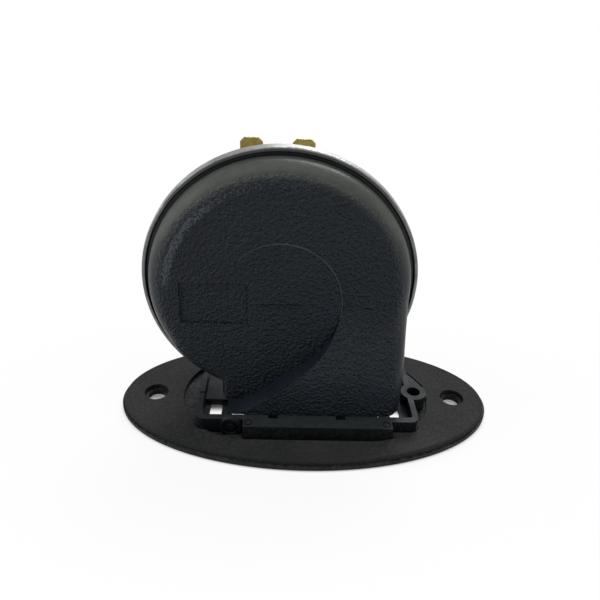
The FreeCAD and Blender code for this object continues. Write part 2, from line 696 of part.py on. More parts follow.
def mouth_outline(inset):
    """Prism along Y with the mouth's rounded lower corners, open above."""
    corners = [
        (MOUTH_LEFT + inset - BULGE_SIDE_PROUD, MOUTH_BOTTOM, MOUTH_CORNER_RADIUS),
        (MOUTH_RIGHT - inset + BULGE_SIDE_PROUD, MOUTH_BOTTOM, MOUTH_CORNER_RADIUS),
        (MOUTH_RIGHT - inset + BULGE_SIDE_PROUD, HORN_Z + CUT_PAST, 0.0),
        (MOUTH_LEFT + inset - BULGE_SIDE_PROUD, HORN_Z + CUT_PAST, 0.0),
    ]
    return stand_up(Part.Face(rounded_wire(corners)), MOUTH_FRONT_Y - FAR_PAST, FLANGE_Y + FAR_PAST)


def shell_disc(inset, rear):
    """Round part of the shell: a straight edge, a rounded shoulder and a flat front."""
    radius = SHELL_RADIUS - inset
    front = DISC_Y + inset
    profile = [
        (0.0, rear, 0.0),
        (radius, rear, 0.0),
        (radius, front, SHOULDER_RADIUS - inset),
        (0.0, front, 0.0),
    ]
    return turned(profile)


def spiral_rib():
    """Wall inside the shell that winds from the throat dome out to the mouth's left wall."""
    first = SPIRAL_START - SPIRAL_INNER_TURN
    inner_run, inner_end, inner_left = step_run(0.0)
    outer_run, outer_end, outer_left = step_run(SHELL_WALL)
    edges = [spiral_edge(first, SPIRAL_START), spiral_edge(SPIRAL_START, SPIRAL_END)]
    edges.append(spiral_edge(first, SPIRAL_START, SHELL_WALL))
    edges.append(spiral_edge(SPIRAL_START, SPIRAL_END, SHELL_WALL))
    edges += inner_run + outer_run
    edges.append(Part.LineSegment(inner_left, outer_left).toShape())
    edges.append(
        Part.LineSegment(spiral_point(first), spiral_point(first, SHELL_WALL)).toShape()
    )
    face = Part.Face(Part.Wire(Part.__sortEdges__(edges)))
    return stand_up(face, MOUTH_FRONT_Y, BACK_PLATE_FRONT_Y)


def make_trumpet_front():
    outer = shell_disc(0.0, FLANGE_Y).fuse(
        mouth_body(0.0, MOUTH_REAR_Y, MOUTH_BOTTOM).common(mouth_outline(0.0))
    )
    hollow = shell_disc(SHELL_WALL, FLANGE_Y + CUT_PAST).fuse(
        mouth_body(SHELL_WALL, MOUTH_REAR_Y - SHELL_WALL, MOUTH_BOTTOM - CUT_PAST)
    )
    shell = outer.cut(hollow)
    rib = spiral_rib().common(outer)
    shell = shell.fuse(rib)
    lips = []
    for front in (MOUTH_FRONT_Y, MOUTH_REAR_Y - SHELL_WALL):
        lips.append(
            block(
                (MOUTH_LEFT + SEAT_LIP_INSET, front, PLATE_TOP),
                (MOUTH_RIGHT - SEAT_LIP_INSET, front + SHELL_WALL, MOUTH_BOTTOM + JOIN_DEPTH),
            )
        )
    shell = shell.fuse(lips)
    label_left = HORN_X + LABEL_X - 0.5 * LABEL_WIDTH
    label_bottom = HORN_Z + LABEL_Z - 0.5 * LABEL_HEIGHT
    label = block(
        (label_left, DISC_Y - CUT_PAST, label_bottom),
        (label_left + LABEL_WIDTH, DISC_Y + LABEL_DEPTH, label_bottom + LABEL_HEIGHT),
    )
    mark_left = label_left + LABEL_WIDTH + MARK_GAP
    mark = block(
        (mark_left, DISC_Y - MARK_RAISE, HORN_Z + MARK_Z),
        (mark_left + MARK_LENGTH, DISC_Y + JOIN_DEPTH, HORN_Z + MARK_Z + MARK_WIDTH),
    )
    return shell.cut(label).fuse(mark).removeSplitter()


def make_trumpet_back():
    spigot = SHELL_RADIUS - SHELL_WALL - FIT_GAP
    dome = DOME_POCKET_RADIUS + DOME_WALL
    dome_front = DISC_Y + SHELL_WALL + FIT_GAP
    profile = [
        (0.0, dome_front, 0.0),
        (dome, dome_front, DOME_ROUND),
        (dome, BACK_PLATE_FRONT_Y, 0.0),
        (spigot, BACK_PLATE_FRONT_Y, EDGE_BREAK),
        (spigot, FLANGE_Y, 0.0),
        (STACK_RADIUS, FLANGE_Y, 0.0),
        (STACK_RADIUS, FLANGE_Y + FLANGE_THICKNESS, 0.0),
        (STACK_RADIUS - SEAL_WIDTH, FLANGE_Y + FLANGE_THICKNESS, 0.0),
        (STACK_RADIUS - SEAL_WIDTH, CHAMBER_Y, 0.0),
        (DOME_POCKET_RADIUS, CHAMBER_Y, EDGE_ROUND),
        (DOME_POCKET_RADIUS, dome_front + DOME_WALL, DOME_INNER_ROUND),
        (0.0, dome_front + DOME_WALL, 0.0),
    ]
    plate = turned(profile)
    window = block(
        (0.0, dome_front + DOME_WALL, -0.5 * WINDOW_WIDTH),
        (dome + CUT_PAST, BACK_PLATE_FRONT_Y, 0.5 * WINDOW_WIDTH),
    )
    window.rotate(vec(0, 0, 0), vec(0, 1, 0), math.degrees(WINDOW_ANGLE) - 90.0)
    window.translate(vec(HORN_X, 0, HORN_Z))
    return plate.cut(window)


def make_diaphragm():
    ridge = DIAPHRAGM_RIDGE_RADIUS
    half = 0.5 * DIAPHRAGM_RIDGE_WIDTH
    slope = 0.5 * half
    lift = DIAPHRAGM_RIDGE_HEIGHT
    profile = [(SPIGOT_RADIUS + CLAMP_CLEARANCE, DIAPHRAGM_Y, 0.0)]
    waves = [(ridge - half, 0.0), (ridge - slope, lift), (ridge + slope, lift), (ridge + half, 0.0)]
    for radius, rise in waves:
        profile.append((radius, DIAPHRAGM_Y + rise, 0.0))
    profile.append((STACK_RADIUS, DIAPHRAGM_Y, 0.0))
    profile.append((STACK_RADIUS, DIAPHRAGM_BACK_Y, 0.0))
    for radius, rise in reversed(waves):
        profile.append((radius, DIAPHRAGM_BACK_Y + rise, 0.0))
    profile.append((SPIGOT_RADIUS + CLAMP_CLEARANCE, DIAPHRAGM_BACK_Y, 0.0))
    return turned(profile)


def seal_ring(front):
    return ring(STACK_RADIUS, STACK_RADIUS - SEAL_WIDTH, front, front + SEAL_THICKNESS)


def make_coil_can():
    inner_rim = RIM_RADIUS - CAN_WALL
    lip = RIM_RADIUS - LIP_WIDTH
    stud_hole = STUD_RADIUS + FIT_GAP
    profile = [
        (lip, FLANGE_Y, 0.0),
        (lip, LIP_FRONT_Y, EDGE_BREAK),
        (RIM_RADIUS, LIP_FRONT_Y, RIM_ROUND),
        (RIM_RADIUS, CAN_SEAT_Y + CAN_WALL, RIM_ROUND),
        (DISH_RADIUS, CAN_SEAT_Y + CAN_WALL, CAN_INNER_BEND),
        (DISH_RADIUS, DISH_BACK_Y, CAN_OUTER_BEND),
        (CUP_RADIUS, DISH_BACK_Y, CAN_INNER_BEND),
        (CUP_RADIUS, CUP_BACK_Y, CAN_OUTER_BEND),
        (stud_hole, CUP_BACK_Y, 0.0),
        (stud_hole, CUP_FLOOR_Y, 0.0),
        (CUP_RADIUS - CAN_WALL, CUP_FLOOR_Y, CAN_OUTER_BEND - CAN_WALL),
        (CUP_RADIUS - CAN_WALL, DISH_FLOOR_Y, 0.0),
        (DISH_RADIUS - CAN_WALL, DISH_FLOOR_Y, CAN_OUTER_BEND - CAN_WALL),
        (DISH_RADIUS - CAN_WALL, CAN_SEAT_Y, 0.0),
        (inner_rim, CAN_SEAT_Y, 0.0),
        (inner_rim, FLANGE_Y, 0.0),
    ]
    can = turned(profile)
    holes = []
    low = DISH_FLOOR_Y - CUT_PAST
    high = DISH_BACK_Y + CUT_PAST
    for x in TERMINAL_X:
        holes.append(terminal_disc(x, RIVET_RADIUS + TERMINAL_HOLE_GAP, low, high))
    holes.append(disc(RIVET_RADIUS + CLAMP_CLEARANCE, low, high, BREAKER_X))
    holes.append(disc(ADJUSTER_RADIUS + CLAMP_CLEARANCE, low, high, ADJUSTER_X, ADJUSTER_Z))
    return can.cut(holes)


def terminal_disc(x, radius, front, back):
    """Round piece on a terminal rivet's axis."""
    return disc(radius, front, back, x - HORN_X, RIVET_HEIGHT)


def make_armature():
    flange_back = leaf_front() - LEAF_GAP
    flange_front = flange_back - ARMATURE_FLANGE_THICKNESS
    nut_front = DIAPHRAGM_Y - CLAMP_CLEARANCE - WASHER_THICKNESS - ARMATURE_NUT_HEIGHT
    spigot_front = nut_front - SPIGOT_PAST_NUT
    profile = [
        (0.0, spigot_front, 0.0),
        (SPIGOT_RADIUS, spigot_front, EDGE_BREAK),
        (SPIGOT_RADIUS, ARMATURE_FRONT_Y, 0.0),
        (ARMATURE_RADIUS, ARMATURE_FRONT_Y, EDGE_BREAK),
        (ARMATURE_RADIUS, flange_front, 0.0),
        (ARMATURE_FLANGE_RADIUS, flange_front, FINE_EDGE),
        (ARMATURE_FLANGE_RADIUS, flange_back, FINE_EDGE),
        (ARMATURE_RADIUS, flange_back, 0.0),
        (ARMATURE_RADIUS, ARMATURE_BACK_Y, EDGE_ROUND),
        (0.0, ARMATURE_BACK_Y, 0.0),
    ]
    return turned(profile)


def make_armature_fasteners():
    bore = SPIGOT_RADIUS + TIGHT_GAP
    front_face = DIAPHRAGM_Y - CLAMP_CLEARANCE
    front_washer = ring(FRONT_WASHER_RADIUS, bore, front_face - WASHER_THICKNESS, front_face)
    rear_washer = ring(
        REAR_WASHER_RADIUS, bore, ARMATURE_FRONT_Y - WASHER_THICKNESS, ARMATURE_FRONT_Y
    )
    nut_back = front_face - WASHER_THICKNESS
    nut = hexagon(ARMATURE_NUT_ACROSS, bore, nut_back - ARMATURE_NUT_HEIGHT, nut_back)
    return front_washer, rear_washer, nut


def make_core():
    profile = [
        (0.0, CORE_Y, 0.0),
        (CORE_RADIUS, CORE_Y, EDGE_ROUND),
        (CORE_RADIUS, CUP_FLOOR_Y, 0.0),
        (STUD_RADIUS, CUP_FLOOR_Y, 0.0),
        (STUD_RADIUS, CUP_BACK_Y + STUD_LENGTH, STUD_END_ROUND),
        (0.0, CUP_BACK_Y + STUD_LENGTH, 0.0),
    ]
    return turned(profile)


def make_bobbin():
    front = DISH_BACK_Y + WINDING_GAP
    back = CUP_FLOOR_Y - WINDING_GAP
    side = CUP_RADIUS - CAN_WALL - BOBBIN_SIDE_GAP
    tube = BORE_RADIUS + BOBBIN_WALL
    profile = [
        (BORE_RADIUS, front, 0.0),
        (side, front, EDGE_BREAK),
        (side, front + BOBBIN_WALL, 0.0),
        (tube, front + BOBBIN_WALL, 0.0),
        (tube, back - BOBBIN_WALL, 0.0),
        (side - BOBBIN_REAR_INSET, back - BOBBIN_WALL, 0.0),
        (side - BOBBIN_REAR_INSET, back, EDGE_BREAK),
        (BORE_RADIUS, back, 0.0),
    ]
    return turned(profile)


def make_winding():
    front = DISH_BACK_Y + WINDING_GAP + BOBBIN_WALL + WINDING_GAP
    back = CUP_FLOOR_Y - WINDING_GAP - BOBBIN_WALL - WINDING_GAP
    side = CUP_RADIUS - CAN_WALL - BOBBIN_SIDE_GAP - WINDING_SHORT
    return ring(side, BORE_RADIUS + BOBBIN_WALL + WINDING_GAP, front, back)


def leaf_front():
    """Front face of the moving contact leaf."""
    return arm_back() + 2.0 * POINT_HEIGHT


def arm_back():
    return DIAPHRAGM_BACK_Y + INSULATOR_CAP + RIVET_HEAD_HEIGHT + ARM_OVER_RIVET + ARM_THICKNESS


def strip(x_from, x_to, half_width, front, back):
    """Flat strip along X in the breaker."""
    low = (HORN_X + x_from, front, HORN_Z - half_width)
    high = (HORN_X + x_to, back, HORN_Z + half_width)
    return block(low, high)


def make_breaker():
    """Contact arm, leaf, points, insulators and the rivet that holds the stack to the can."""
    arm_front = arm_back() - ARM_THICKNESS
    leaf_back = leaf_front() + LEAF_THICKNESS
    end = BREAKER_X - INSULATOR_RADIUS
    hole = disc(RIVET_RADIUS + CLAMP_CLEARANCE, arm_front - FAR_PAST, DISH_BACK_Y + FAR_PAST, BREAKER_X)
    arm = strip(end, POINT_X + ARM_PAST_POINT, 0.5 * ARM_WIDTH, arm_front, arm_back())
    ear = block(
        (HORN_X + ADJUSTER_X - EAR_HALF_WIDTH, arm_front, HORN_Z + ADJUSTER_Z - EAR_PAST_ADJUSTER),
        (HORN_X + ADJUSTER_X + EAR_HALF_WIDTH, arm_back(), HORN_Z),
    )
    arm = arm.fuse(ear).removeSplitter().cut(hole)
    leaf_end = -ARMATURE_FLANGE_RADIUS + LEAF_UNDER_FLANGE
    leaf = strip(end, leaf_end, 0.5 * LEAF_WIDTH, leaf_front(), leaf_back)
    opening = disc(ARMATURE_RADIUS + LEAF_HOLE_GAP, leaf_front() - CUT_PAST, leaf_back + CUT_PAST)
    leaf = leaf.cut([opening, hole])
    points = Part.makeCompound(
        [
            disc(POINT_RADIUS, arm_back(), arm_back() + POINT_HEIGHT, POINT_X),
            disc(POINT_RADIUS, arm_back() + POINT_HEIGHT, leaf_front(), POINT_X),
        ]
    )
    bore = RIVET_RADIUS + CLAMP_CLEARANCE
    insulators = Part.makeCompound(
        [
            ring(INSULATOR_RADIUS, bore, arm_front - INSULATOR_CAP, arm_front, BREAKER_X),
            ring(INSULATOR_RADIUS, bore, arm_back(), leaf_front(), BREAKER_X),
            ring(INSULATOR_RADIUS, bore, leaf_back, DISH_FLOOR_Y, BREAKER_X),
        ]
    )
    head = arm_front - INSULATOR_CAP
    rivet = rivet_solid(head, DISH_BACK_Y, BREAKER_X, 0.0)
    return arm, leaf, points, insulators, rivet


def rivet_solid(front, back, x, z):
    """Rivet on an axis along Y, gripping from the front face to the back face."""
    profile = [
        (0.0, front - RIVET_HEAD_HEIGHT, 0.0),
        (RIVET_HEAD_RADIUS, front - RIVET_HEAD_HEIGHT, EDGE_ROUND),
        (RIVET_HEAD_RADIUS, front, 0.0),
        (RIVET_RADIUS, front, 0.0),
        (RIVET_RADIUS, back, 0.0),
        (RIVET_HEAD_RADIUS, back, 0.0),
        (RIVET_HEAD_RADIUS, back + RIVET_HEAD_HEIGHT, EDGE_ROUND),
        (0.0, back + RIVET_HEAD_HEIGHT, 0.0),
    ]
    return turned(profile, x, z)


def make_adjuster():
    profile = [
        (0.0, arm_back(), 0.0),
        (ADJUSTER_RADIUS, arm_back(), EDGE_ROUND),
        (ADJUSTER_RADIUS, DISH_BACK_Y, 0.0),
        (ADJUSTER_HEAD_RADIUS, DISH_BACK_Y, 0.0),
        (ADJUSTER_HEAD_RADIUS, DISH_BACK_Y + ADJUSTER_HEAD_HEIGHT, EDGE_ROUND),
        (0.0, DISH_BACK_Y + ADJUSTER_HEAD_HEIGHT, 0.0),
    ]
    screw = turned(profile, ADJUSTER_X, ADJUSTER_Z)
    x = HORN_X + ADJUSTER_X
    z = HORN_Z + ADJUSTER_Z
    top = DISH_BACK_Y + ADJUSTER_HEAD_HEIGHT
    slot = block(
        (x - 0.5 * ADJUSTER_SLOT, top - 0.5 * ADJUSTER_HEAD_HEIGHT, z - ADJUSTER_HEAD_RADIUS - CUT_PAST),
        (x + 0.5 * ADJUSTER_SLOT, top + CUT_PAST, z + ADJUSTER_HEAD_RADIUS + CUT_PAST),
    )
    return screw.cut(slot)


def make_terminal(x):
    """Spade tab lying against the terminal block, with chamfered tip, detent hole and rivet hole."""
    front = DISH_BACK_Y + BLOCK_THICKNESS
    half = 0.5 * TAB_WIDTH
    points = [
        (x - half, HORN_Z + TAB_BOTTOM, 0.0),
        (x + half, HORN_Z + TAB_BOTTOM, 0.0),
        (x + half, HORN_Z + TAB_TOP - TAB_CHAMFER, 0.0),
        (x + half - TAB_CHAMFER, HORN_Z + TAB_TOP, 0.0),
        (x - half + TAB_CHAMFER, HORN_Z + TAB_TOP, 0.0),
        (x - half, HORN_Z + TAB_TOP - TAB_CHAMFER, 0.0),
    ]
    tab = stand_up(Part.Face(rounded_wire(points)), front, front + TAB_THICKNESS)
    holes = [
        terminal_disc(x, RIVET_RADIUS + CLAMP_CLEARANCE, front - CUT_PAST, front + TAB_THICKNESS + CUT_PAST),
        disc(
            TAB_HOLE_RADIUS,
            front - CUT_PAST,
            front + TAB_THICKNESS + CUT_PAST,
            x - HORN_X,
            TAB_TOP - TAB_HOLE_BELOW_TOP,
        ),
    ]
    return tab.cut(holes)


def make_terminal_block():
    half = 0.5 * TAB_WIDTH + BLOCK_SIDE
    low_x = min(TERMINAL_X) - half
    high_x = max(TERMINAL_X) + half
    corners = [
        (low_x, HORN_Z + BLOCK_BOTTOM, BLOCK_ROUND),
        (high_x, HORN_Z + BLOCK_BOTTOM, BLOCK_ROUND),
        (high_x, HORN_Z + BLOCK_TOP, BLOCK_ROUND),
        (low_x, HORN_Z + BLOCK_TOP, BLOCK_ROUND),
    ]
    body = stand_up(Part.Face(rounded_wire(corners)), DISH_BACK_Y, DISH_BACK_Y + BLOCK_THICKNESS)
    bore = RIVET_RADIUS + CLAMP_CLEARANCE
    low = DISH_BACK_Y - CUT_PAST
    high = DISH_BACK_Y + BLOCK_THICKNESS + CUT_PAST
    return body.cut([terminal_disc(x, bore, low, high) for x in TERMINAL_X])


def make_terminal_washers():
    washers = []
    for x in TERMINAL_X:
        front = DISH_FLOOR_Y - TERMINAL_WASHER_THICKNESS
        outer = terminal_disc(x, TERMINAL_WASHER_RADIUS, front, DISH_FLOOR_Y)
        bore = RIVET_RADIUS + CLAMP_CLEARANCE
        inner = terminal_disc(x, bore, front - CUT_PAST, DISH_FLOOR_Y + CUT_PAST)
        washers.append(outer.cut(inner))
    return Part.makeCompound(washers)


def make_terminal_rivets():
    front = DISH_FLOOR_Y - TERMINAL_WASHER_THICKNESS
    back = DISH_BACK_Y + BLOCK_THICKNESS + TAB_THICKNESS
    rivets = []
    for x in TERMINAL_X:
        rivets.append(rivet_solid(front, back, x - HORN_X, RIVET_HEIGHT))
    return Part.makeCompound(rivets)


def make_lock_washer(front):
    washer = ring(LOCK_WASHER_RADIUS, STUD_RADIUS + FIT_GAP, front, front + LOCK_WASHER_THICKNESS)
    split = block(
        (HORN_X - 0.5 * LOCK_WASHER_SPLIT, front - CUT_PAST, HORN_Z),
        (HORN_X + 0.5 * LOCK_WASHER_SPLIT, front + FAR_PAST, HORN_Z + LOCK_WASHER_RADIUS + CUT_PAST),
    )
    return washer.cut(split)


def build_all():
    nodes = {}
    nodes["face_plate"] = make_face_plate()
    nodes["gasket"] = make_gasket()
    nodes["mount_collar"] = make_collar()
    nodes["trumpet_front"] = make_trumpet_front()
    nodes["trumpet_back"] = make_trumpet_back()
    nodes["front_seal_ring"] = seal_ring(FLANGE_Y + FLANGE_THICKNESS)
    nodes["diaphragm"] = make_diaphragm()
    nodes["rear_seal_ring"] = seal_ring(DIAPHRAGM_BACK_Y)
    nodes["coil_can"] = make_coil_can()
    nodes["armature"] = make_armature()
    front_washer, rear_washer, nut = make_armature_fasteners()
    nodes["diaphragm_front_washer"] = front_washer
    nodes["diaphragm_rear_washer"] = rear_washer
    nodes["armature_nut"] = nut
    nodes["fixed_core"] = make_core()
    nodes["coil_bobbin"] = make_bobbin()
    nodes["coil_winding"] = make_winding()
    nodes["pole_plate"] = ring(
        POLE_PLATE_RADIUS, ARMATURE_RADIUS + POLE_PLATE_BORE_GAP, POLE_PLATE_Y, DISH_FLOOR_Y
    )
    arm, leaf, points, insulators, rivet = make_breaker()
    nodes["contact_arm"] = arm
    nodes["contact_leaf"] = leaf
    nodes["contact_points"] = points
    nodes["breaker_insulators"] = insulators
    nodes["breaker_rivet"] = rivet
    nodes["adjusting_screw"] = make_adjuster()
    nodes["terminal_block"] = make_terminal_block()
    nodes["terminal_washers"] = make_terminal_washers()
    nodes["terminal_left"] = make_terminal(TERMINAL_X[0])
    nodes["terminal_right"] = make_terminal(TERMINAL_X[1])
    nodes["terminal_rivets"] = make_terminal_rivets()
    washer_back = CUP_BACK_Y + STUD_WASHER_THICKNESS
    lock_back = washer_back + LOCK_WASHER_THICKNESS
    nodes["stud_washer"] = ring(STUD_WASHER_RADIUS, STUD_RADIUS + FIT_GAP, CUP_BACK_Y, washer_back)
    nodes["stud_lock_washer"] = make_lock_washer(washer_back)
    nodes["stud_nut"] = hexagon(
        STUD_NUT_ACROSS, STUD_RADIUS + TIGHT_GAP, lock_back, lock_back + STUD_NUT_HEIGHT
    )
    return nodes


for name, shape in build_all().items():
    shape.exportStep("parts/" + name + ".step")
    print(name, "solids", len(shape.Solids), "volume", round(shape.Volume, 1), "valid", shape.isValid())
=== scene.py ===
"""Looks for the drop-in electric boat horn: materials on every piece, floor, soft light and camera.

Metres, in the frame of the solids: Z is up, X runs along the oval, and the trumpet faces -Y.
"""
import math

import bpy
from mathutils import Matrix, Vector
from mathutils.bvhtree import BVHTree


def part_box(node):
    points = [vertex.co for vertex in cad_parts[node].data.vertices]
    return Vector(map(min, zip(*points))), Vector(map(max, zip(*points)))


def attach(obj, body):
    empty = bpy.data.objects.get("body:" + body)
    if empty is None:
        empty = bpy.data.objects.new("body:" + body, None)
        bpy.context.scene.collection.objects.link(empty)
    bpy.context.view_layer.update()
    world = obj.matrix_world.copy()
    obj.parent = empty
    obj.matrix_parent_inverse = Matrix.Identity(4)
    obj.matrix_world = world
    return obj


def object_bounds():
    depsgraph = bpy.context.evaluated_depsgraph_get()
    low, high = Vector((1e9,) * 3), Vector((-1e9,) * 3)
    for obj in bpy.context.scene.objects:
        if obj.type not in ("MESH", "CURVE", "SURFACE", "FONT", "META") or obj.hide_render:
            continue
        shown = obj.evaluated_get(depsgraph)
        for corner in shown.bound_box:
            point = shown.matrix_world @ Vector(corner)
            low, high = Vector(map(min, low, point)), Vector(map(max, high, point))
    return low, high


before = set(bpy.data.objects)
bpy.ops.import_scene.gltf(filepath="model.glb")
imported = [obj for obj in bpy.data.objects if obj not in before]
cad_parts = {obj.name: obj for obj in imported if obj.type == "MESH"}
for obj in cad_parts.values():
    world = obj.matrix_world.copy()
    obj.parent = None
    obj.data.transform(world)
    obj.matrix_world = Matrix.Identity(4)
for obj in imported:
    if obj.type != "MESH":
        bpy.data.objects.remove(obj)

cad_low, cad_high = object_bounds()
MM = 0.001

# Camera, as found from the oval, the screw holes and the rim in the photograph
CAMERA_PLACE = Vector((-9.767, -147.752, 123.946)) * MM
CAMERA_DOWN = math.radians(30.13)
CAMERA_TURN = math.radians(2.53)
CAMERA_ROLL = math.radians(2.76)
FOCAL_PIXELS = 589.35
IMAGE_PIXELS = 600.0
SENSOR_MM = 36.0

# Places on the horn and the oval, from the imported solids
RIM_LOW, RIM_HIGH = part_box("coil_can")
HORN_X = 0.5 * (RIM_LOW.x + RIM_HIGH.x)
HORN_Z = 0.5 * (RIM_LOW.z + RIM_HIGH.z)
OVAL_HALF_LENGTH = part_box("face_plate")[1].x
OVAL_HALF_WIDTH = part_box("face_plate")[1].y

# Low ridge that carries the step on round the disc, in millimetres and degrees from the top
SPIRAL_RADIUS = 15.3
SPIRAL_GROWTH = 0.31
SPIRAL_FROM = -10.0
LINE_FIRST = -48.0
LINE_LAST = 112.0
LINE_SECTIONS = 96
LINE_HALF_WIDTH = 0.22
LINE_HEIGHT = 0.16
LINE_SINK = 0.06
LINE_FIRST_SHARE = 0.25
LINE_RISE = 2.0
RAY_RUN_UP = 10.0

# Leather grain on the shell, in millimetres: cell sizes, warp and depth; it shows where the wall
# faces forward, and a little of it is left on the smooth walls
GRAIN_COARSE = 0.95
GRAIN_FINE = 0.55
GRAIN_COARSE_SHARE = 0.65
GRAIN_WARP = 0.45
GRAIN_DEPTH = 1.10
GRAIN_FACING = (0.80, 0.93)
GRAIN_LEFT = 0.06

# Worn ring with a painted highlight, and the painted highlight on the shoulder of the shell, in
# millimetres from the horn's axis and degrees from the top; an arc fades in between its first two
# angles and out between its last two
WEAR_AND_HIGHLIGHT_RADIUS = 31.3
WEAR_AND_HIGHLIGHT_FADE_IN = 1.8
WEAR_AND_HIGHLIGHT_FADE_OUT = 1.9
WEAR_AND_HIGHLIGHT_FLAT = 0.5
WEAR_AND_HIGHLIGHT_ARC = (-97.0, -82.0, -47.0, 58.0)
WEAR_AND_HIGHLIGHT_STRONG_ARC = (-92.0, -80.0, -50.0, -28.0)
SHOULDER_FROM = 30.5
SHOULDER_FULL = 32.0
SHOULDER_LOW = -14.0
SHOULDER_HIGH = -2.0

# Rolled lip of the can, in millimetres: the groove inside it, painted black as painted shadow, and
# the heights above the horn's axis between which its front is painted darker as painted shade
GROOVE_RADIUS = 37.85
GROOVE_EDGE = 38.25
GROOVE_DEPTH = 3.0
GROOVE_END = 4.0
LIP_SHADE_FROM = 10.0
LIP_SHADE_TO = 34.0

# Floor: how white it is drawn under the oval's edge and further off; reaches are shares of the
# oval's half length and half width
FLOOR_TONE = (0.80, 0.80, 0.80, 1.0)
FLOOR_NEAR_GLOW = 0.90
FLOOR_FAR_GLOW = 1.0
OVAL_EDGE_REACH = (0.97, 1.02)
FLOOR_FAR_REACH = 2.6
# painted light: where the floor under the grille's front glows white
GRILLE_SIDES = (0.66, 0.70)
GRILLE_BACK = (-0.2, -0.1)
GRILLE_RIM = (0.80, 0.90)
FLOOR_HALF_SIZE = 7.0

# Background: its strength as a light and as mirrored; camera and transmission rays get one, white
WORLD_GLOW = 0.12
METAL_GLOW = 0.65

# Soft lights: name, place, target, width, height and radiance
LIGHTS = (
    ("key_behind_right", (0.25, 0.75, 0.65), (0.0, 0.0, 0.03), 0.6, 0.5, 8.5),
    ("overhead", (0.0, -0.10, 0.62), (0.0, 0.0, 0.05), 0.9, 0.4, 1.8),
    ("left_wall", (-0.65, -0.05, 0.30), (0.0, 0.0, 0.05), 0.5, 0.5, 2.6),
    ("right_wall", (0.65, -0.05, 0.30), (0.0, 0.0, 0.05), 0.4, 0.4, 1.6),
)

# Colours, in linear light
CHARCOAL_DARK = (0.0068, 0.0110, 0.0170)
CHARCOAL_LIGHT = (0.0096, 0.0148, 0.0220)
VALLEY = (0.0125, 0.0165, 0.0215)
# painted highlight on the up-facing shoulder of the shell
SHOULDER_PAINTED_HIGHLIGHT = (0.072, 0.078, 0.070)
# worn ring on the shell, partly a painted highlight
WORN_RING_AND_HIGHLIGHT = (0.092, 0.108, 0.124)
SPECK = (0.10, 0.105, 0.11)
ZINC_LIGHT = (0.36, 0.36, 0.35)
ZINC_DARK = (0.22, 0.22, 0.215)
ZINC_SPOT = (0.11, 0.105, 0.095)
# painted shade on the front of the can's lip
LIP_PAINTED_SHADE = (0.050, 0.054, 0.056)
# painted shadow inside the rolled lip's groove
GROOVE_PAINTED_SHADOW = (0.004, 0.005, 0.006)
# rubbed edges with a painted edge highlight, on the plate and the collar
PLATE_WORN_EDGE_AND_HIGHLIGHT = (0.045, 0.050, 0.055)
COLLAR_WORN_EDGE_AND_HIGHLIGHT = (0.020, 0.024, 0.027)
# dust and painted top light on the collar's up-facing surfaces
COLLAR_DUST_AND_TOP_LIGHT = (0.026, 0.031, 0.033)


